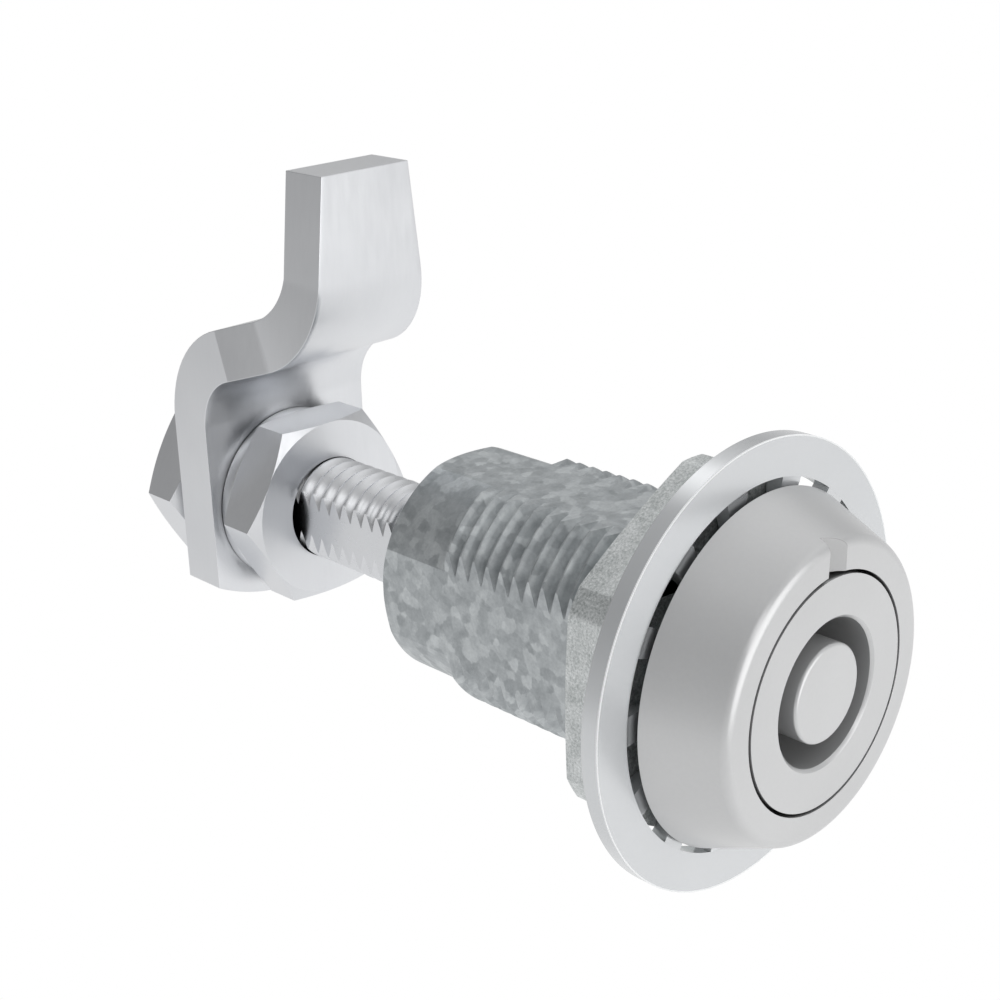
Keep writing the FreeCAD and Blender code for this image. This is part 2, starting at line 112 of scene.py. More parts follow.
# Barrel
THREAD_R = mm(11.3)
THREAD_ROOT_R = mm(10.38)
THREAD_PITCH = mm(1.545)
THREAD_FRONT = mm(2.5)
THREAD_END = mm(25.6)
THREAD_CREST_Y = mm(25.18)      # a crest on the left flat, at its upper edge
THREAD_CREST_ANGLE = -57.0      # and the clock angle there
FLAT_X = mm(9.65)               # half widths across the flats
FLAT_Z = mm(9.85)
NECK_R = mm(10.42)
NECK_BEVEL = mm(0.75)
SLEEVE_BORE_R = mm(7.95)
SLEEVE_BORE_FRONT = mm(2.4)
COLLAR_BORE_R = mm(8.26)
COLLAR_BORE_FRONT = mm(25.6)
STEM_SEAL_GROOVE = (mm(8.21), mm(-0.37), mm(1.07))     # radius, front, back
# Shaft
SHAFT_ROOT_R = mm(4.23)
SHAFT_PITCH = mm(1.53)
SHAFT_CREST_Y = mm(50.0)
SHAFT_CREST_ANGLE = -37.0
SHAFT_THREAD_FRONT = mm(33.0)
SHAFT_CHAMFER = mm(0.6)
SHAFT_NOSE_R = mm(2)
SHAFT_NOSE_L = mm(1.6)
# Toothed ring
RING_ROOT_R = mm(15.44)
TOOTH_COUNT = 14
TOOTH_START = 10.15             # clock angle of the first tooth's edge, in degrees
TOOTH_ANGLE = 9.0               # and the angle that a tooth's root takes up
TOOTH_SUNK = mm(0.3)            # how far a tooth reaches into the ring
TOOTH_STRAIGHT = mm(0.35)       # and how far it goes on before it narrows
TOOTH_T_SHARE = 0.998           # its thickness there, as a share of the ring's
TOOTH_TIP_R = mm(11.45)
TOOTH_TIP_W = mm(1.7)
TOOTH_TIP_T = mm(0.9)
TOOTH_TWIST = 15.0              # degrees
# Nut on the barrel
NUT_AF = 2 * (THREAD_R + mm(2.98))
NUT_CORNER_R = NUT_AF / 2 + mm(1.55)            # its corners are trimmed to this
NUT_BEVEL = mm(0.22)
NUT_TURN = 1.2                  # degrees
# Arm, whose widths are halves
ARM_T = mm(4.9)
TONGUE_BEND_Z = mm(24.52)
TONGUE_TIP_W = mm(5.07)
TONGUE_ROOT_W = mm(6.14)
CRANK_TOP_W = mm(7.61)
BEND_1_R = mm(9.35)
BEND_2_R = mm(5.92)
CRANK_TURN = 73.67              # degrees
CRANK_L = mm(2.98)
BASE_CORNER_Z = mm(-7.45)
# Nuts and washers on the shaft
CAM_NUT_AF = mm(17.4)
CAM_NUT_T = mm(5.0)
CAM_NUT_TURN = 30               # degrees
CAM_NUT_CHAMFER = mm(0.7)
CAM_WASHER_T = mm(1.35)
CAM_WASHER_BORE_R = SHAFT_R + mm(0.25)

# Small gaps, broken edges and the reach of the cutting tools
RUNNING_GAP = mm(0.06)
SHAFT_GAP = mm(0.02)
FINE_BEVEL = mm(0.06)
ARM_BEVEL = mm(0.09)
PLATE_BEVEL = mm(0.12)
BEVEL_SEGMENTS = 2
JOIN = mm(0.05)                 # overlap of two solids that are united
OVER = mm(1)                    # how far a tool reaches past what it cuts
WIDE = mm(8)                    # half width of a tool across the shaft
MERGE = mm(0.0005)              # corners closer than this become one

# Steps round a circle, along a bend and across the arm, and the creases that stay sharp, in degrees
ROUND_STEPS = 192
RING_STEPS = 280
FINE_STEPS = 96
THREAD_STEPS = 160
SHAFT_THREAD_STEPS = 112
NUT_BORE_STEPS = 128
BEND_STEPS = 14
ARM_COLUMNS = 24
THREAD_CREASE = 28
KEPT_CREASE = 35


# Mesh helpers
def new_piece(name, bm):
    mesh = bpy.data.meshes.new(name)
    bmesh.ops.remove_doubles(bm, verts=bm.verts, dist=MERGE)
    bmesh.ops.recalc_face_normals(bm, faces=bm.faces)
    bm.to_mesh(mesh)
    bm.free()
    piece = bpy.data.objects.new(name, mesh)
    scene.collection.objects.link(piece)
    return piece


def around(angle, radius, y):
    """Point at a clock angle in degrees, from straight up towards +X."""
    a = math.radians(angle)
    return Vector((radius * math.sin(a), y, radius * math.cos(a)))


def lathe(name, outline, steps=ROUND_STEPS):
    """Closed solid of revolution from a loop of (radius, y) corners."""
    bm = bmesh.new()
    rings = [[bm.verts.new(around(360 * j / steps, r, y)) for r, y in outline] for j in range(steps)]
    count = len(outline)
    for j in range(steps):
        a, b = rings[j], rings[(j + 1) % steps]
        for i in range(count):
            k = (i + 1) % count
            starts_on_axis, ends_on_axis = outline[i][0] == 0, outline[k][0] == 0
            if starts_on_axis and ends_on_axis:
                continue
            if starts_on_axis:
                corners = [a[i], b[k], a[k]]
            elif ends_on_axis:
                corners = [a[i], b[i], a[k]]
            else:
                corners = [a[i], b[i], b[k], a[k]]
            bm.faces.new(corners)
    return new_piece(name, bm)


def arc(centre_r, centre_y, radius, start, end, steps):
    """Corners on a quarter or less of a circle in an outline; angles in degrees from +r towards -y."""
    found = []
    for k in range(steps + 1):
        a = math.radians(start + (end - start) * k / steps)
        found.append((centre_r + radius * math.cos(a), centre_y - radius * math.sin(a)))
    return found


def prism(name, corners, y0, y1):
    """Straight prism along Y from a loop of (x, z) corners."""
    bm = bmesh.new()
    front = [bm.verts.new((x, y0, z)) for x, z in corners]
    back = [bm.verts.new((x, y1, z)) for x, z in corners]
    bm.faces.new(front)
    bm.faces.new(back)
    for i in range(len(corners)):
        k = (i + 1) % len(corners)
        bm.faces.new([front[i], front[k], back[k], back[i]])
    return new_piece(name, bm)


def block(x0, x1, y0, y1, z0, z1):
    """Box between two corners."""
    return prism("block", [(x0, z0), (x1, z0), (x1, z1), (x0, z1)], y0, y1)


def hexagon(name, across, y0, y1, turn):
    """Hexagonal prism with a width across flats and a corner at a clock angle."""
    r = across / math.sqrt(3)
    corners = [around(60 * k + turn, r, 0) for k in range(6)]
    return prism(name, [(c.x, c.z) for c in corners], y0, y1)


def carve(piece, tool, operation):
    """Applies one exact Boolean and removes the tool."""
    change = piece.modifiers.new("change", "BOOLEAN")
    change.operation = operation
    change.solver = "EXACT"
    change.object = tool
    apply_modifiers(piece)
    bpy.data.objects.remove(tool)
    return piece


def apply_modifiers(piece):
    """Makes what the modifiers show the piece's own mesh."""
    bpy.context.view_layer.update()
    shown = piece.evaluated_get(bpy.context.evaluated_depsgraph_get())
    mesh = bpy.data.meshes.new_from_object(shown)
    piece.modifiers.clear()
    piece.data = mesh


def soften(piece, width, angle, crease=52.0):
    """Breaks the edges sharper than an angle, and shades smooth up to the crease; angles in degrees."""
    edge = piece.modifiers.new("edge", "BEVEL")
    edge.width = width
    edge.segments = BEVEL_SEGMENTS
    edge.limit_method = "ANGLE"
    edge.angle_limit = math.radians(angle)
    apply_modifiers(piece)
    smooth(piece, crease)


def smooth(piece, angle):
    """Smooth shading that leaves flat faces flat, because the larger faces set the normals."""
    piece.data.shade_smooth()
    piece.data.set_sharp_from_angle(angle=math.radians(angle))
    level = piece.modifiers.new("level", "WEIGHTED_NORMAL")
    level.keep_sharp = True
    level.weight = 100
    apply_modifiers(piece)


def dress(piece, body, material, node):
    """Gives a finished piece its material and its body, and hides the CAD node that it stands for."""
    piece.data.materials.clear()
    piece.data.materials.append(material)
    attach(piece, body)
    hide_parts(node)
    return piece


# Node helpers for the materials
def new_material(name):
    """Material with its node tree, its shader and the socket of places on the piece."""
    material = bpy.data.materials.new(name)
    material.use_nodes = True
    tree = material.node_tree
    shader = tree.nodes["Principled BSDF"]
    place = tree.nodes.new("ShaderNodeTexCoord").outputs["Object"]
    return material, tree, shader, place


def noise(tree, place, scale, detail, roughness=0.5, stretch=None):
    """Noise texture with scale cells to the metre; stretch gives a grain by the scale along each axis."""
    if stretch:
        mapping = tree.nodes.new("ShaderNodeMapping")
        mapping.inputs["Scale"].default_value = stretch
        tree.links.new(place, mapping.inputs["Vector"])
        place = mapping.outputs["Vector"]
    texture = tree.nodes.new("ShaderNodeTexNoise")
    texture.inputs["Scale"].default_value = scale
    texture.inputs["Detail"].default_value = detail
    texture.inputs["Roughness"].default_value = roughness
    tree.links.new(place, texture.inputs["Vector"])
    return texture.outputs["Fac"]


def spread(tree, value, low_in, high_in, low_out, high_out):
    """Maps one range of a value to another, and stops at its ends."""
    node = tree.nodes.new("ShaderNodeMapRange")
    node.inputs["From Min"].default_value = low_in
    node.inputs["From Max"].default_value = high_in
    node.inputs["To Min"].default_value = low_out
    node.inputs["To Max"].default_value = high_out
    tree.links.new(value, node.inputs["Value"])
    return node.outputs["Result"]


def ramp(tree, value, *stops):
    """Colour ramp from (place, colour) stops."""
    node = tree.nodes.new("ShaderNodeValToRGB")
    elements = node.color_ramp.elements
    elements[0].position, elements[0].color = stops[0][0], (*stops[0][1], 1)
    elements[1].position, elements[1].color = stops[-1][0], (*stops[-1][1], 1)
    for place, colour in stops[1:-1]:
        elements.new(place).color = (*colour, 1)
    tree.links.new(value, node.inputs["Fac"])
    return node.outputs["Color"]


def blend(tree, share, first, second, kind="MIX"):
    """Mixes two colour sockets by a share, which is a number or a socket."""
    node = tree.nodes.new("ShaderNodeMix")
    node.data_type = "RGBA"
    node.blend_type = kind
    factor, colour_a, colour_b = node.inputs[0], node.inputs[6], node.inputs[7]
    if isinstance(share, float):
        factor.default_value = share
    else:
        tree.links.new(share, factor)
    tree.links.new(first, colour_a)
    tree.links.new(second, colour_b)
    return node.outputs[2]


def add(tree, a, b, weight):
    """a + weight * b"""
    node = tree.nodes.new("ShaderNodeMath")
    node.operation = "MULTIPLY_ADD"
    tree.links.new(b, node.inputs[0])
    node.inputs[1].default_value = weight
    tree.links.new(a, node.inputs[2])
    return node.outputs["Value"]


def multiply(tree, a, b):
    node = tree.nodes.new("ShaderNodeMath")
    node.operation = "MULTIPLY"
    tree.links.new(a, node.inputs[0])
    tree.links.new(b, node.inputs[1])
    return node.outputs["Value"]


def facing(tree, place, direction):
    """How far a place lies along a direction, in metres for a unit direction."""
    node = tree.nodes.new("ShaderNodeVectorMath")
    node.operation = "DOT_PRODUCT"
    node.inputs[1].default_value = direction
    tree.links.new(place, node.inputs[0])
    return node.outputs["Value"]


def bump(tree, shader, height, distance):
    node = tree.nodes.new("ShaderNodeBump")
    node.inputs["Distance"].default_value = distance
    node.inputs["Strength"].default_value = 1.0
    tree.links.new(height, node.inputs["Height"])
    tree.links.new(node.outputs["Normal"], shader.inputs["Normal"])


def painted_corner_shade(tree, colour, reach, darkest):
    """Painted shade: darkens a colour where other surfaces stand close in front of it."""
    hidden = tree.nodes.new("ShaderNodeAmbientOcclusion")
    hidden.samples = 8
    hidden.inputs["Distance"].default_value = reach
    grey = ramp(tree, hidden.outputs["AO"], (0.12, (darkest,) * 3), (0.55, (1, 1, 1)))
    return blend(tree, 1.0, colour, grey, "MULTIPLY")


def satin_metal(name, dark, light, rough_low, rough_high, grain=(1, 1, 1), reach=mm(3), darkest=0.35,
                metallic=1.0):
    """Bright drawn or tumbled metal: faint cloudy tone, fine directional grain and soft gloss, with painted shade
    in corners where other surfaces stand within reach.
    """
    material, tree, shader, place = new_material(name)
    cloud = noise(tree, place, 110, 3)
    fine = noise(tree, place, 2200, 3, 0.6, grain)
    tone = add(tree, cloud, fine, 0.5)
    colour = ramp(tree, tone, (0.45, dark), (1.05, light))
    # painted shade: the colour darkens where other surfaces stand close
    tree.links.new(painted_corner_shade(tree, colour, reach, darkest), shader.inputs["Base Color"])
    tree.links.new(spread(tree, fine, 0.3, 0.7, rough_low, rough_high), shader.inputs["Roughness"])
    shader.inputs["Metallic"].default_value = metallic
    bump(tree, shader, fine, mm(0.0004))
    return material


def behind_front(tree, place, *stops):
    """Painted shade: grey by the depth behind the head's front, from (millimetres, value) stops."""
    split = tree.nodes.new("ShaderNodeSeparateXYZ")
    tree.links.new(place, split.inputs["Vector"])
    deepest = stops[-1][0]
    depth = spread(tree, split.outputs["Y"], HEAD_FRONT, HEAD_FRONT + mm(deepest), 0, 1)
    return ramp(tree, depth, *[(d / deepest, (v, v, v)) for d, v in stops])


def within(tree, place, radius):
    """1 inside a radius round the axis and 0 outside it."""
    flat = tree.nodes.new("ShaderNodeVectorMath")
    flat.operation = "MULTIPLY"
    flat.inputs[1].default_value = (1, 0, 1)
    tree.links.new(place, flat.inputs[0])
    length = tree.nodes.new("ShaderNodeVectorMath")
    length.operation = "LENGTH"
    tree.links.new(flat.outputs["Vector"], length.inputs[0])
    return spread(tree, length.outputs["Value"], radius, radius + mm(0.02), 1, 0)


def in_mark(tree, place):
    """1 on the sloping floor of the position mark in the head, where the coat carries painted shade, and 0
    elsewhere.
    """
    across = Vector((math.cos(math.radians(NOTCH_TURN)), 0, -math.sin(math.radians(NOTCH_TURN))))
    slope = across * NOTCH_DEPTH / NOTCH_W + Vector((0, 1, 0))
    height = HEAD_FRONT + NOTCH_DEPTH / 2
    slack, soft = mm(0.04), mm(0.01)
    planes = ((across, NOTCH_W / 2), (-across, NOTCH_W / 2), (Vector((0, 0, -1)), -INSERT_R / 2),
              (slope, height + slack), (-slope, slack - height))
    shares = [spread(tree, facing(tree, place, direction), edge - soft, edge + soft, 1, 0)
              for direction, edge in planes]
    inside = shares[0]
    for share in shares[1:]:
        inside = multiply(tree, inside, share)
    return inside


def coated_metal(name, dark, light, *hollows):
    """Powder-fine satin coat on a casting, with painted shade that darkens it with the depth behind the front in
    each hollow.

    A hollow is a radius round the axis, or None for the position mark, and its (depth, value) stops."""
    material, tree, shader, place = new_material(name)
    cloud = noise(tree, place, 60, 3)
    grit = noise(tree, place, 3000, 2)
    coat = ramp(tree, add(tree, cloud, grit, 0.25), (0.4, dark), (0.85, light))
    tone = coat
    for radius, depths in hollows:
        # painted shade, darker with the depth behind the head's front
        shaded_tone = blend(tree, 1.0, coat, behind_front(tree, place, *depths), "MULTIPLY")
        share = within(tree, place, radius) if radius else in_mark(tree, place)
        tone = blend(tree, share, tone, shaded_tone)
    tree.links.new(tone, shader.inputs["Base Color"])
    tree.links.new(spread(tree, grit, 0.3, 0.7, 0.29, 0.33), shader.inputs["Roughness"])
    shader.inputs["Metallic"].default_value = 0.5
    return material


def painted_edge_highlight(material):
    """Painted highlight on the ring's outer front edge, which turns white and less mirror-like than its faces."""
    tree = material.node_tree
    shader = tree.nodes["Principled BSDF"]
    place = tree.nodes.new("ShaderNodeTexCoord").outputs["Object"]
    split = tree.nodes.new("ShaderNodeSeparateXYZ")
    tree.links.new(place, split.inputs["Vector"])
    edge_y = RING_FRONT + PLATE_BEVEL
    front = spread(tree, split.outputs["Y"], edge_y - mm(0.03), edge_y - mm(0.01), 1, 0)
    inner = within(tree, place, RING_R - PLATE_BEVEL - mm(0.01))
    edge = tree.nodes.new("ShaderNodeMath")
    edge.operation = "SUBTRACT"
    edge.use_clamp = True
    tree.links.new(front, edge.inputs[0])
    tree.links.new(inner, edge.inputs[1])
    # painted highlight: white base colour on the edge bevel
    white = tree.nodes.new("ShaderNodeRGB")
    white.outputs[0].default_value = (1, 1, 1, 1)
    colour = shader.inputs["Base Color"].links[0].from_socket
    tree.links.new(blend(tree, edge.outputs["Value"], colour, white.outputs[0]), shader.inputs["Base Color"])
    steel = shader.inputs["Metallic"].default_value
    tree.links.new(spread(tree, edge.outputs["Value"], 0, 1, steel, 0), shader.inputs["Metallic"])


def spangled_zinc(name, cell, tones, metallic):
    """Hot-dip zinc: crystals of a cell's size with their own tones, ragged edges and a soft cloud over them."""
    material, tree, shader, place = new_material(name)
    wobble = tree.nodes.new("ShaderNodeTexNoise")
    wobble.inputs["Scale"].default_value = 1.6 / cell
    wobble.inputs["Detail"].default_value = 3
    tree.links.new(place, wobble.inputs["Vector"])
    shift = tree.nodes.new("ShaderNodeVectorMath")
    shift.operation = "MULTIPLY_ADD"
    shift.inputs[1].default_value = (cell * 0.55,) * 3
    tree.links.new(wobble.outputs["Color"], shift.inputs[0])
    tree.links.new(place, shift.inputs[2])
    crystal = tree.nodes.new("ShaderNodeTexVoronoi")
    crystal.feature = "SMOOTH_F1"
    crystal.inputs["Smoothness"].default_value = 0.3
    crystal.inputs["Scale"].default_value = 1.0 / cell
    tree.links.new(shift.outputs["Vector"], crystal.inputs["Vector"])
    split = tree.nodes.new("ShaderNodeSeparateColor")
    tree.links.new(crystal.outputs["Color"], split.inputs["Color"])
    cloud = noise(tree, place, 0.8 / cell, 4, 0.6)
    fine = noise(tree, place, 4.0 / cell, 4, 0.6)
    tone = add(tree, split.outputs["Red"], cloud, 1.8)
    tone = add(tree, tone, fine, 0.9)
    tree.links.new(ramp(tree, spread(tree, tone, 0.9, 2.6, 0, 1), *tones), shader.inputs["Base Color"])
    tree.links.new(spread(tree, split.outputs["Green"], 0, 1, 0.40, 0.50), shader.inputs["Roughness"])
    shader.inputs["Metallic"].default_value = metallic
    bump(tree, shader, add(tree, split.outputs["Blue"], fine, 0.6), mm(0.003))
    return material


def speckled_zinc(name, dark, light):
    """Fine salt-and-pepper crystal of a small zinc-coated nut."""
    material, tree, shader, place = new_material(name)
    speck = noise(tree, place, 4800, 2, 0.7)
    cloud = noise(tree, place, 500, 2)
    tone = add(tree, speck, cloud, 0.35)
    tree.links.new(ramp(tree, tone, (0.42, dark), (0.92, light)), shader.inputs["Base Color"])
    tree.links.new(spread(tree, speck, 0.3, 0.7, 0.38, 0.6), shader.inputs["Roughness"])
    shader.inputs["Metallic"].default_value = 0.8
    bump(tree, shader, speck, mm(0.006))
    return material


def rubber(name):
    material, tree, shader, place = new_material(name)
    grain = noise(tree, place, 2500, 3)
    tree.links.new(ramp(tree, grain, (0.3, (0.015, 0.015, 0.016)), (0.8, (0.04, 0.04, 0.042))),
                   shader.inputs["Base Color"])
    tree.links.new(spread(tree, grain, 0.3, 0.7, 0.6, 0.8), shader.inputs["Roughness"])
    bump(tree, shader, grain, mm(0.01))
    return material


# Materials of the slots
# each satin metal here carries painted shade in its corners, down to darkest within reach
ARM_STEEL = satin_metal("arm_satin_steel", (0.75, 0.762, 0.785), (0.81, 0.822, 0.843), 0.28, 0.36,
                        grain=(1, 1, 0.12), reach=mm(4), darkest=0.2)
SHAFT_STEEL = satin_metal("shaft_satin_steel", (0.74, 0.752, 0.775), (0.81, 0.822, 0.843), 0.27, 0.30)
RING_STEEL = satin_metal("ring_bright_steel", (0.725, 0.738, 0.75), (0.755, 0.768, 0.78), 0.21, 0.24,
                         reach=mm(1.5), darkest=0.7, metallic=0.7)
# painted highlight along the ring's outer front edge
painted_edge_highlight(RING_STEEL)
MACHINED_STEEL = satin_metal("machined_steel", (0.40, 0.40, 0.41), (0.55, 0.55, 0.56), 0.25, 0.4)
SPRING_STEEL = satin_metal("dark_spring_steel", (0.08, 0.08, 0.085), (0.16, 0.16, 0.17), 0.35, 0.5)
COAT_TONES = ((0.65, 0.65, 0.65), (0.71, 0.71, 0.71))
# painted shade on the mark's sloping floor, in the gap round the insert and in the key recess: how bright the coat
# stays at each depth behind the head's front, in millimetres
MARK_PAINTED_SHADE = ((0, 0.62), (2.0, 0.62))
GAP_PAINTED_SHADE = ((0, 1.0), (0.08, 1.0), (0.3, 0.3), (1.5, 0.08))
RECESS_PAINTED_SHADE = ((0, 1.0), (0.1, 1.0), (0.6, 0.9), (2.0, 0.78), (5.0, 0.65), (10.0, 0.55))
HEAD_COAT = coated_metal("head_satin_coat", *COAT_TONES, (None, MARK_PAINTED_SHADE),
                         (INSERT_R + INSERT_GAP + mm(0.03), GAP_PAINTED_SHADE))
INSERT_COAT = coated_metal("insert_satin_coat", *COAT_TONES, (INSERT_R + mm(1), GAP_PAINTED_SHADE),
                           (INSERT_R - mm(0.3), RECESS_PAINTED_SHADE))
ZINC_TONES = ((0.0, (0.33, 0.353, 0.365)), (0.5, (0.49, 0.517, 0.53)), (1.0, (0.69, 0.72, 0.73)))
BARREL_ZINC = spangled_zinc("barrel_spangled_zinc", mm(1.1), ZINC_TONES, 0.85)
NUT_ZINC = speckled_zinc("nut_speckled_zinc", (0.40, 0.43, 0.425), (0.98, 1.0, 1.0))
RUBBER = rubber("seal_rubber")


# Head and insert
def cone_tangent():
    """Angle at which the cone's side runs into the rounding of the front edge, in degrees."""
    across = HEAD_R - HEAD_ROUND_R
    along = -HEAD_FRONT - HEAD_ROUND
    return math.degrees(math.acos(HEAD_ROUND / math.hypot(across, along)) - math.atan2(along, across))


def head_bezel():
    bore = INSERT_R + INSERT_GAP
    groove_in, groove_out, groove_depth = RIM_GROOVE
    outline = [(HEAD_R, 0)]
    outline += arc(HEAD_ROUND_R, HEAD_FRONT + HEAD_ROUND, HEAD_ROUND, cone_tangent(), 90, 12)
    outline += [(bore, HEAD_FRONT), (bore, BARREL_FRONT), (THREAD_R, BARREL_FRONT), (THREAD_R, 0),
                (groove_in, 0), (groove_in, -groove_depth), (groove_out, -groove_depth), (groove_out, 0)]
    piece = lathe("head_bezel_shell", outline)
    half = NOTCH_W / 2
    above = OVER - HEAD_FRONT
    corners = [(-half, above), (-half, -HEAD_FRONT - NOTCH_DEPTH), (half, -HEAD_FRONT), (half, above)]
    mark = prism("mark", corners, bore - OVER, HEAD_R)
    upright = Matrix.Rotation(math.radians(90), 4, "X")
    mark.data.transform(Matrix.Rotation(math.radians(NOTCH_TURN), 4, "Y") @ upright)
    carve(piece, mark, "DIFFERENCE")
    soften(piece, FINE_BEVEL, angle=20, crease=16)
    return dress(piece, "housing", HEAD_COAT, "head_bezel")


def drive_insert():
    floor = HEAD_FRONT + RECESS_DEPTH
    back = BARREL_FRONT - RUNNING_GAP
    outline = [(0, HEAD_FRONT)]
    outline += reversed(arc(POST_R - POST_ROUND, HEAD_FRONT + POST_ROUND, POST_ROUND, 0, 90, 6))
    outline += [(POST_R, floor), (RECESS_R, floor), (RECESS_R, HEAD_FRONT + RECESS_BEVEL),
                (RECESS_R + RECESS_BEVEL, HEAD_FRONT), (INSERT_R, HEAD_FRONT), (INSERT_R, back),
                (STEM_R, back), (STEM_R, SPIGOT_START), (SPIGOT_R, SPIGOT_START),
                (SPIGOT_R, INSERT_BACK_END), (0, INSERT_BACK_END)]
    piece = lathe("drive_insert_face", outline)
    slot_out = RECESS_R - mm(0.02)
    slot = block(-slot_out, slot_out, floor - OVER / 2, floor + KEY_SLOT_DEPTH, -KEY_SLOT_W / 2, KEY_SLOT_W / 2)
    core = lathe("core", [(0, floor - OVER), (KEY_SLOT_IN, floor - OVER),
                          (KEY_SLOT_IN, floor + 2 * OVER), (0, floor + 2 * OVER)], FINE_STEPS)
    carve(piece, carve(slot, core, "DIFFERENCE"), "DIFFERENCE")
    soften(piece, FINE_BEVEL, angle=28)
    return dress(piece, "driver", INSERT_COAT, "drive_insert")


# Ring and nut behind the panel
def tooth(start):
    """Tooth that narrows, thins and twists from its root, beginning at a clock angle."""
    bm = bmesh.new()
    y_mid = (RING_FRONT + RING_BACK) / 2
    root_t = (RING_BACK - RING_FRONT) * TOOTH_T_SHARE
    root_w = RING_ROOT_R * math.radians(TOOTH_ANGLE)
    sections = [(RING_ROOT_R + TOOTH_SUNK, root_w, root_t, 0),
                (RING_ROOT_R - TOOTH_STRAIGHT, root_w, root_t, 0),
                (TOOTH_TIP_R, TOOTH_TIP_W, TOOTH_TIP_T, TOOTH_TWIST)]
    turn = Matrix.Rotation(math.radians(start + TOOTH_ANGLE / 2), 3, "Y")
    rows = []
    for radius, width, height, twist in sections:
        a = math.radians(twist)
        row = []
        for s, t in ((-1, -1), (1, -1), (1, 1), (-1, 1)):
            u, v = s * width / 2, t * height / 2
            x = u * math.cos(a) - v * math.sin(a)
            y = y_mid + u * math.sin(a) + v * math.cos(a)
            row.append(bm.verts.new(turn @ Vector((x, y, radius))))
        rows.append(row)
    bm.faces.new(rows[0])
    bm.faces.new(rows[-1])
    for upper, lower in zip(rows, rows[1:]):
        for i in range(4):
            k = (i + 1) % 4
            bm.faces.new([upper[i], upper[k], lower[k], lower[i]])
    return new_piece("tooth", bm)


def toothed_ring():
    piece = lathe("toothed_ring_plate", [(RING_R, RING_FRONT), (RING_R, RING_BACK),
                                         (RING_ROOT_R, RING_BACK), (RING_ROOT_R, RING_FRONT)], RING_STEPS)
    for k in range(TOOTH_COUNT):
        carve(piece, tooth(TOOTH_START + 360 * k / TOOTH_COUNT), "UNION")
    soften(piece, PLATE_BEVEL, angle=32)
    return dress(piece, "housing", RING_STEEL, "toothed_ring")


def mounting_nut():
    piece = hexagon("mounting_nut_hex", NUT_AF, NUT_FRONT, NUT_BACK, NUT_TURN)
    flat = NUT_AF / 2
    front, back = NUT_FRONT - OVER, NUT_BACK + OVER
    outline = [(0, front), (NUT_CORNER_R, front), (NUT_CORNER_R, NUT_BACK - NUT_BEVEL),
               (flat, NUT_BACK + mm(0.01)), (flat, back), (0, back)]
    carve(piece, lathe("turned", outline), "INTERSECT")
    carve(piece, lathe("bore", [(0, front), (THREAD_R, front), (THREAD_R, back), (0, back)]), "DIFFERENCE")
    soften(piece, PLATE_BEVEL, angle=32)
    return dress(piece, "housing", NUT_ZINC, "mounting_nut")


# Threads
# Form of one turn: (share of the pitch, height between root and crest)
THREAD_FORM = ((0.0, 1.0), (0.06, 1.0), (0.1, 0.96), (0.28, 0.5), (0.46, 0.05), (0.5, 0.0), (0.56, 0.0),
               (0.6, 0.05), (0.78, 0.5), (0.96, 0.96))


def threaded_rod(name, crest, root, pitch, y0, y1, crest_y, crest_angle, steps):
    """Closed rod with a right-hand thread whose crest passes crest_y at a clock angle."""
    bm = bmesh.new()
    points = len(THREAD_FORM)
    phase = crest_y - pitch * (crest_angle / 360 + THREAD_FORM[1][0] / 2)
    first = math.floor((y0 - phase) / pitch) - 2
    turns = math.ceil((y1 - y0) / pitch) + 4
    rows = []
    last = turns * points
    for row in range(last + 1):
        place, level = THREAD_FORM[row % points]
        y = phase + pitch * (first + row // points + place)
        r = root + (crest - root) * level
        rows.append([bm.verts.new(around(360 * j / steps, r, y + pitch * j / steps)) for j in range(steps)])
    for row in range(last):
        this, after = rows[row], rows[row + 1]
        for j in range(steps - 1):
            bm.faces.new([this[j], this[j + 1], after[j + 1], after[j]])
    for row in range(last - points):
        bm.faces.new([rows[row][-1], rows[row + points][0], rows[row + points + 1][0], rows[row + 1][-1]])
    middle = (y0 + y1) / 2
    open_edges = [edge for edge in bm.edges if edge.is_boundary]
    ends = [bm.verts.new((0, rows[0][0].co.y, 0)), bm.verts.new((0, rows[last][0].co.y, 0))]
    for edge in open_edges:
        bm.faces.new([ends[edge.verts[0].co.y > middle], *edge.verts])
    return new_piece(name, bm)


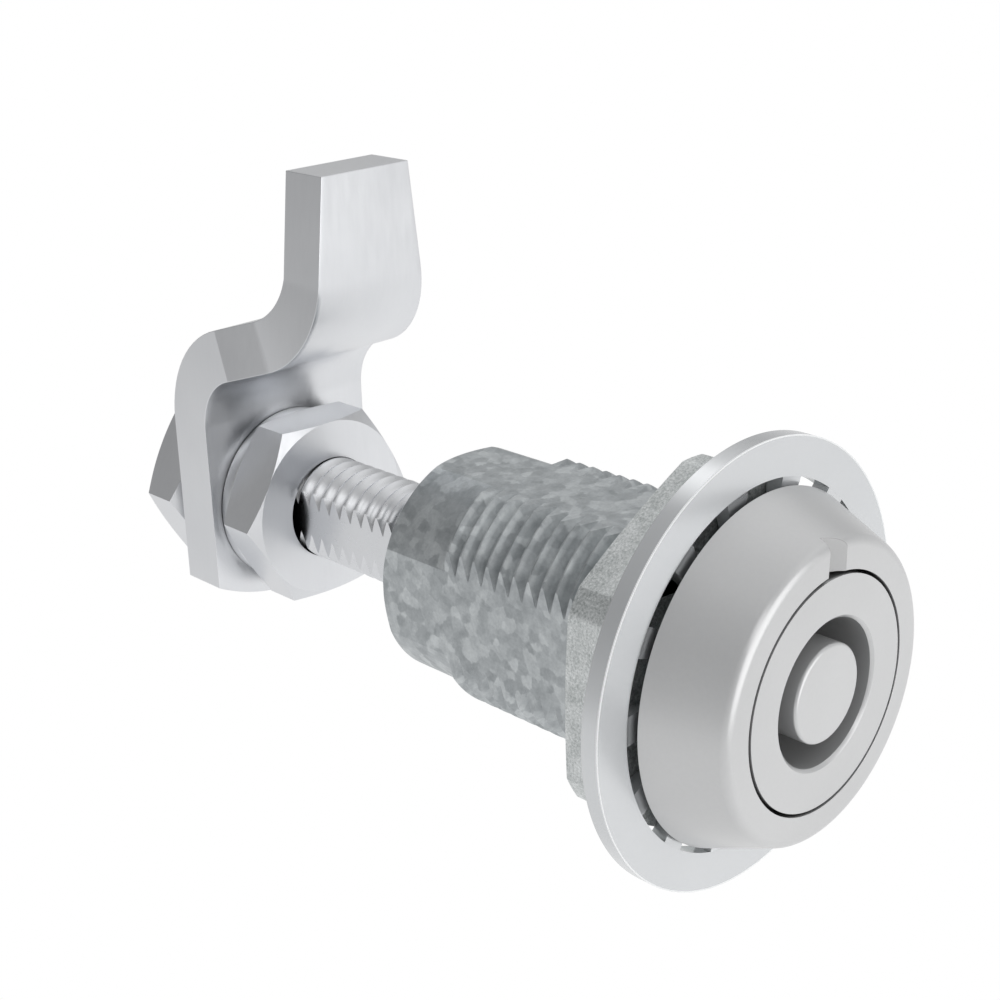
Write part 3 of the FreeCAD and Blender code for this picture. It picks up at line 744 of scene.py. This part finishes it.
def threaded_barrel():
    piece = threaded_rod("threaded_barrel_body", THREAD_R, THREAD_ROOT_R, THREAD_PITCH,
                         THREAD_FRONT, THREAD_END, THREAD_CREST_Y, THREAD_CREST_ANGLE, THREAD_STEPS)
    carve(piece, block(-FLAT_X, FLAT_X, THREAD_FRONT, THREAD_END, -FLAT_Z, FLAT_Z), "INTERSECT")
    plain = lathe("plain", [(0, BARREL_FRONT), (THREAD_R, BARREL_FRONT), (THREAD_R, 0), (THREAD_ROOT_R, 0),
                            (THREAD_ROOT_R, THREAD_FRONT + JOIN), (0, THREAD_FRONT + JOIN)])
    neck = lathe("neck", [(0, THREAD_END - JOIN), (NECK_R, THREAD_END - JOIN),
                          (NECK_R, BARREL_END - NECK_BEVEL), (NECK_R - NECK_BEVEL, BARREL_END), (0, BARREL_END)])
    carve(neck, block(-FLAT_X, FLAT_X, 0, BARREL_END + OVER, -FLAT_Z, FLAT_Z), "INTERSECT")
    carve(piece, neck, "UNION")
    carve(piece, plain, "UNION")
    front, back = BARREL_FRONT - OVER, BARREL_END + OVER
    stem_bore = STEM_R + RUNNING_GAP
    groove_r, groove_front, groove_back = STEM_SEAL_GROOVE
    bore = lathe("bore", [(0, front), (stem_bore, front), (stem_bore, groove_front), (groove_r, groove_front),
                          (groove_r, groove_back), (stem_bore, groove_back), (stem_bore, SLEEVE_BORE_FRONT),
                          (SLEEVE_BORE_R, SLEEVE_BORE_FRONT), (SLEEVE_BORE_R, COLLAR_BORE_FRONT),
                          (COLLAR_BORE_R, COLLAR_BORE_FRONT), (COLLAR_BORE_R, back), (0, back)])
    carve(piece, bore, "DIFFERENCE")
    smooth(piece, THREAD_CREASE)
    return dress(piece, "housing", BARREL_ZINC, "threaded_barrel")


def latch_shaft():
    start = SHAFT_THREAD_FRONT
    piece = threaded_rod("latch_shaft_thread", SHAFT_R, SHAFT_ROOT_R, SHAFT_PITCH, start, SHAFT_END,
                         SHAFT_CREST_Y, SHAFT_CREST_ANGLE, SHAFT_THREAD_STEPS)
    out = mm(0.4)
    turned = lathe("turned", [(0, start), (SHAFT_R + out, start), (SHAFT_R + out, SHAFT_END - SHAFT_CHAMFER - out),
                              (SHAFT_R - SHAFT_CHAMFER, SHAFT_END), (0, SHAFT_END)], FINE_STEPS)
    carve(turned, block(-SHAFT_FLAT, SHAFT_FLAT, 0, SHAFT_END + OVER, -WIDE, WIDE), "INTERSECT")
    carve(piece, turned, "INTERSECT")
    nose_back = SHAFT_FRONT + SHAFT_NOSE_L
    plain = lathe("plain", [(0, SHAFT_FRONT), (SHAFT_NOSE_R, SHAFT_FRONT), (SHAFT_NOSE_R, nose_back),
                            (SHAFT_R, nose_back), (SHAFT_R, start + JOIN), (0, start + JOIN)], FINE_STEPS)
    carve(plain, block(-SHAFT_FLAT, SHAFT_FLAT, SHAFT_FRONT - OVER, start + OVER, -WIDE, WIDE), "INTERSECT")
    carve(piece, plain, "UNION")
    smooth(piece, THREAD_CREASE)
    return dress(piece, "shaft", SHAFT_STEEL, "latch_shaft")


# Cranked arm
def arm_stations():
    """(y, z, turn in degrees, half width) down the arm's front face, from the tip to the foot."""
    turn = math.radians(CRANK_TURN)
    found = [(TONGUE_FRONT, ARM_TOP, 0, TONGUE_TIP_W)]
    y0, z0 = TONGUE_FRONT + BEND_1_R, TONGUE_BEND_Z
    for k in range(BEND_STEPS + 1):
        t = k / BEND_STEPS
        y, z = y0 - BEND_1_R * math.cos(turn * t), z0 - BEND_1_R * math.sin(turn * t)
        found.append((y, z, CRANK_TURN * t, TONGUE_ROOT_W + (CRANK_TOP_W - TONGUE_ROOT_W) * t))
    y1, z1 = found[-1][0], found[-1][1]
    y2, z2 = y1 + CRANK_L * math.sin(turn), z1 - CRANK_L * math.cos(turn)
    yc, zc = y2 - BEND_2_R * math.cos(turn), z2 - BEND_2_R * math.sin(turn)
    for k in range(BEND_STEPS + 1):
        t = 1 - k / BEND_STEPS
        y, z = yc + BEND_2_R * math.cos(turn * t), zc + BEND_2_R * math.sin(turn * t)
        found.append((y, z, CRANK_TURN * t, ARM_W))
    return found


def foot_arc(x):
    """Z of the rounded bottom edge of the foot at x."""
    rise = BASE_CORNER_Z - ARM_BOTTOM
    radius = (ARM_W ** 2 + rise ** 2) / (2 * rise)
    return ARM_BOTTOM + radius - math.sqrt(radius ** 2 - x ** 2)


def cam_arm():
    columns = ARM_COLUMNS
    bm = bmesh.new()
    stations = arm_stations()
    foot_y = stations[-1][0]
    stations.append((foot_y, BASE_CORNER_Z, 0, ARM_W))
    front, back = [], []
    for y, z, turn, half in stations:
        a = math.radians(turn)
        across = [half * (2 * i / columns - 1) for i in range(columns + 1)]
        front.append([bm.verts.new((x, y, z)) for x in across])
        back.append([bm.verts.new((x, y + ARM_T * math.cos(a), z + ARM_T * math.sin(a))) for x in across])
    across = [ARM_W * (2 * i / columns - 1) for i in range(columns + 1)]
    for rows, y in ((front, foot_y), (back, foot_y + ARM_T)):
        last = rows[-1]
        rows.append([last[0]] + [bm.verts.new((x, y, foot_arc(x))) for x in across[1:-1]] + [last[-1]])
    for rows in (front, back):
        for upper, lower in zip(rows, rows[1:]):
            for i in range(columns):
                corners = [upper[i], upper[i + 1], lower[i + 1], lower[i]]
                kept = [c for n, c in enumerate(corners) if c not in corners[:n]]
                bm.faces.new(kept)
    for side in (0, -1):
        for k in range(len(stations) - 1):
            bm.faces.new([front[k][side], front[k + 1][side], back[k + 1][side], back[k][side]])
    for row in (0, -1):
        for i in range(columns):
            bm.faces.new([front[row][i], front[row][i + 1], back[row][i + 1], back[row][i]])
    piece = new_piece("cam_arm_plate", bm)
    hole_r = SHAFT_R + SHAFT_GAP
    hole_front, hole_back = foot_y - OVER, foot_y + ARM_T + OVER
    hole = lathe("hole", [(0, hole_front), (hole_r, hole_front), (hole_r, hole_back), (0, hole_back)],
                 FINE_STEPS)
    hole_flat = SHAFT_FLAT + SHAFT_GAP
    carve(hole, block(-hole_flat, hole_flat, hole_front - OVER, hole_back + OVER, -WIDE, WIDE), "INTERSECT")
    carve(piece, hole, "DIFFERENCE")
    soften(piece, ARM_BEVEL, angle=30)
    return dress(piece, "shaft", ARM_STEEL, "cam_arm")


# Nuts and washers on the shaft
def cam_nut(name, y0):
    y1 = y0 + CAM_NUT_T
    corner = CAM_NUT_AF / math.sqrt(3) + mm(0.01)
    flat = CAM_NUT_AF / 2
    piece = hexagon(name, CAM_NUT_AF, y0, y1, CAM_NUT_TURN)
    out, lead = mm(0.02), mm(0.05)
    shape = lathe("turned", [(0, y0 - out), (flat - out, y0 - out), (corner, y0 + CAM_NUT_CHAMFER),
                             (corner, y1 - CAM_NUT_CHAMFER), (flat - out, y1 + out), (0, y1 + out)])
    carve(piece, shape, "INTERSECT")
    r = SHAFT_R + SHAFT_GAP
    bore = lathe("bore", [(0, y0 - out), (r + lead, y0 - out), (r, y0 + lead), (r, y1 - lead),
                          (r + lead, y1 + out), (0, y1 + out)], NUT_BORE_STEPS)
    carve(piece, bore, "DIFFERENCE")
    soften(piece, FINE_BEVEL, angle=24)
    return piece


def cam_washer(name, y0):
    y1 = y0 + CAM_WASHER_T
    piece = lathe(name, [(WASHER_R, y0), (WASHER_R, y1), (CAM_WASHER_BORE_R, y1), (CAM_WASHER_BORE_R, y0)])
    soften(piece, PLATE_BEVEL, angle=30)
    return piece


def cam_fasteners():
    foot_y = FOOT_BACK - ARM_T
    nuts = (cam_nut("cam_nut_front", foot_y - CAM_WASHER_T - CAM_NUT_T),
            cam_nut("cam_nut_rear", FOOT_BACK + CAM_WASHER_T))
    for piece in nuts:
        dress(piece, "shaft", ARM_STEEL, "cam_nuts")
    washers = cam_washer("cam_washer_front", foot_y - CAM_WASHER_T), cam_washer("cam_washer_rear", FOOT_BACK)
    for piece in washers:
        dress(piece, "shaft", ARM_STEEL, "cam_washers")


# CAD nodes that stay
KEPT = {
    "rim_seal": RUBBER, "stem_seal": RUBBER, "stem_clip": SPRING_STEEL, "collar_clip": SPRING_STEEL,
    "return_spring": SPRING_STEEL, "cam_sleeve": MACHINED_STEEL, "drive_pin": MACHINED_STEEL,
    "guide_collar": MACHINED_STEEL, "stop_pin": MACHINED_STEEL, "thrust_washer": MACHINED_STEEL,
    "cross_pin": MACHINED_STEEL, "spring_seat": MACHINED_STEEL,
}


def keep_nodes():
    for name, material in KEPT.items():
        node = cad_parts[name]
        node.data.materials.clear()
        node.data.materials.append(material)
        smooth(node, KEPT_CREASE)
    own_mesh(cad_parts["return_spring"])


# Camera, from the photograph: angles in degrees, place in millimetres
CAMERA_AZIMUTH = -44.817
CAMERA_ELEVATION = 21.469
CAMERA_ROLL = -1.344
CAMERA_PLACE = (-98.864, -70.961, 61.954)
CAMERA_LENS = 61.636
CAMERA_SENSOR = 36
CAMERA_CLIP = (0.005, 10)


def add_camera():
    a, e, roll = map(math.radians, (CAMERA_AZIMUTH, CAMERA_ELEVATION, CAMERA_ROLL))
    back = Vector((math.sin(a) * math.cos(e), -math.cos(a) * math.cos(e), math.sin(e)))
    level = Vector((math.cos(a), math.sin(a), 0))
    rise = back.cross(level)
    right = math.cos(roll) * level + math.sin(roll) * rise
    up = math.cos(roll) * rise - math.sin(roll) * level
    data = bpy.data.cameras.new("camera")
    data.lens = CAMERA_LENS
    data.sensor_width = CAMERA_SENSOR
    data.clip_start, data.clip_end = CAMERA_CLIP
    camera = bpy.data.objects.new("camera", data)
    turn = Matrix((right, up, back)).transposed()
    camera.matrix_world = Matrix.Translation(Vector(CAMERA_PLACE) * mm(1)) @ turn.to_4x4()
    scene.collection.objects.link(camera)
    scene.camera = camera


# Studio
FLOOR_Z = mm(-95)
FLOOR_HALF = 4.0
LAMP_PLACE = (0.06, -0.5, 0.05)
LAMP_SIZE = 0.5
LAMP_POWER = 1.1
WORLD_COLOUR = (0.96, 0.98, 1.0, 1)
WORLD_STRENGTH = 0.62
REFLECTOR_R = 0.7
# brightness of the reflector from straight below (-1) to straight above (1), on its -X and +X sides
LEFT_TONES = ((-1.0, 0.82), (-0.7, 0.84), (-0.37, 0.80), (-0.307, 0.76), (-0.215, 0.62), (-0.1, 0.50),
              (0.0, 0.46), (0.3, 0.32), (0.48, 0.28), (0.65, 0.33), (0.8, 0.37), (1.0, 0.60))
RIGHT_TONES = ((-1.0, 0.93), (-0.5, 0.92), (-0.34, 0.90), (0.0, 0.68), (0.25, 0.50), (0.37, 0.42), (0.5, 0.58),
               (0.75, 0.88), (1.0, 0.75))
# and two small bright cards on it: direction, cosines of the outer and inner edge, added brightness
CARDS = (((-0.32, -0.70, 0.61), (0.965, 0.99), 3.4), ((0.28, 0.63, 0.73), (0.97, 0.995), 0.9))


def add_lamp():
    data = bpy.data.lights.new("front", "AREA")
    data.shape = "RECTANGLE"
    data.size = data.size_y = LAMP_SIZE
    data.energy = LAMP_POWER
    lamp = bpy.data.objects.new("front", data)
    lamp.location = LAMP_PLACE
    lamp.rotation_mode = "QUATERNION"
    lamp.rotation_quaternion = (-Vector(LAMP_PLACE)).to_track_quat("-Z", "Y")
    scene.collection.objects.link(lamp)


def add_world():
    """Soft light, and plain white where the camera, gloss or glass sees it."""
    world = bpy.data.worlds.new("studio")
    scene.world = world
    world.use_nodes = True
    tree = world.node_tree
    tree.nodes.clear()
    out = tree.nodes.new("ShaderNodeOutputWorld")
    mix = tree.nodes.new("ShaderNodeMixShader")
    soft = tree.nodes.new("ShaderNodeBackground")
    white = tree.nodes.new("ShaderNodeBackground")
    soft.inputs["Color"].default_value = WORLD_COLOUR
    soft.inputs["Strength"].default_value = WORLD_STRENGTH
    white.inputs["Color"].default_value = (1, 1, 1, 1)
    white.inputs["Strength"].default_value = 1.0
    path = tree.nodes.new("ShaderNodeLightPath")
    first = tree.nodes.new("ShaderNodeMath")
    second = tree.nodes.new("ShaderNodeMath")
    first.operation = second.operation = "MAXIMUM"
    tree.links.new(path.outputs["Is Camera Ray"], first.inputs[0])
    tree.links.new(path.outputs["Is Glossy Ray"], first.inputs[1])
    tree.links.new(first.outputs["Value"], second.inputs[0])
    tree.links.new(path.outputs["Is Transmission Ray"], second.inputs[1])
    tree.links.new(second.outputs["Value"], mix.inputs["Fac"])
    tree.links.new(soft.outputs["Background"], mix.inputs[1])
    tree.links.new(white.outputs["Background"], mix.inputs[2])
    tree.links.new(mix.outputs["Shader"], out.inputs["Surface"])


def add_floor():
    """Pale floor far below the latch, which the camera sees as plain white."""
    bm = bmesh.new()
    corners = [(x * FLOOR_HALF, y * FLOOR_HALF, FLOOR_Z) for x, y in ((-1, -1), (1, -1), (1, 1), (-1, 1))]
    bm.faces.new([bm.verts.new(corner) for corner in corners])
    floor = new_piece("floor", bm)
    material, tree, shader, _ = new_material("floor_white")
    shader.inputs["Base Color"].default_value = (0.9, 0.9, 0.9, 1)
    shader.inputs["Roughness"].default_value = 0.9
    glow = tree.nodes.new("ShaderNodeEmission")
    path = tree.nodes.new("ShaderNodeLightPath")
    mix = tree.nodes.new("ShaderNodeMixShader")
    tree.links.new(path.outputs["Is Camera Ray"], mix.inputs["Fac"])
    tree.links.new(shader.outputs["BSDF"], mix.inputs[1])
    tree.links.new(glow.outputs["Emission"], mix.inputs[2])
    tree.links.new(mix.outputs["Shader"], tree.nodes["Material Output"].inputs["Surface"])
    floor.data.materials.append(material)
    floor.visible_glossy = False


def add_reflector():
    """Sphere of studio cards round the object that only its gloss sees."""
    bm = bmesh.new()
    bmesh.ops.create_uvsphere(bm, u_segments=64, v_segments=32, radius=REFLECTOR_R)
    dome = new_piece("reflector", bm)
    material = bpy.data.materials.new("reflector_cards")
    material.use_nodes = True
    tree = material.node_tree
    tree.nodes.clear()
    out = tree.nodes.new("ShaderNodeOutputMaterial")
    glow = tree.nodes.new("ShaderNodeEmission")
    place = tree.nodes.new("ShaderNodeTexCoord").outputs["Object"]
    unit = tree.nodes.new("ShaderNodeVectorMath")
    unit.operation = "NORMALIZE"
    tree.links.new(place, unit.inputs[0])
    split = tree.nodes.new("ShaderNodeSeparateXYZ")
    tree.links.new(unit.outputs["Vector"], split.inputs["Vector"])
    height = spread(tree, split.outputs["Z"], -1, 1, 0, 1)
    left, right = [ramp(tree, height, *[((z + 1) / 2, (v, v, v)) for z, v in tones])
                   for tones in (LEFT_TONES, RIGHT_TONES)]
    side = spread(tree, split.outputs["X"], 0.0, 0.35, 0, 1)
    tree.links.new(blend(tree, side, left, right), glow.inputs["Color"])
    first, second = [spread(tree, facing(tree, unit.outputs["Vector"], Vector(direction).normalized()),
                            *edges, base, base + gain)
                     for (direction, edges, gain), base in zip(CARDS, (1.0, 0.0))]
    tree.links.new(add(tree, first, second, 1.0), glow.inputs["Strength"])
    tree.links.new(glow.outputs["Emission"], out.inputs["Surface"])
    dome.data.materials.append(material)
    dome.visible_camera = dome.visible_diffuse = dome.visible_shadow = dome.visible_transmission = False


add_camera()
add_world()
add_floor()
add_reflector()
add_lamp()

head_bezel()
drive_insert()
toothed_ring()
mounting_nut()
threaded_barrel()
latch_shaft()
cam_arm()
cam_fasteners()
keep_nodes()

scene.view_settings.view_transform = "Standard"

bpy.context.view_layer.update()
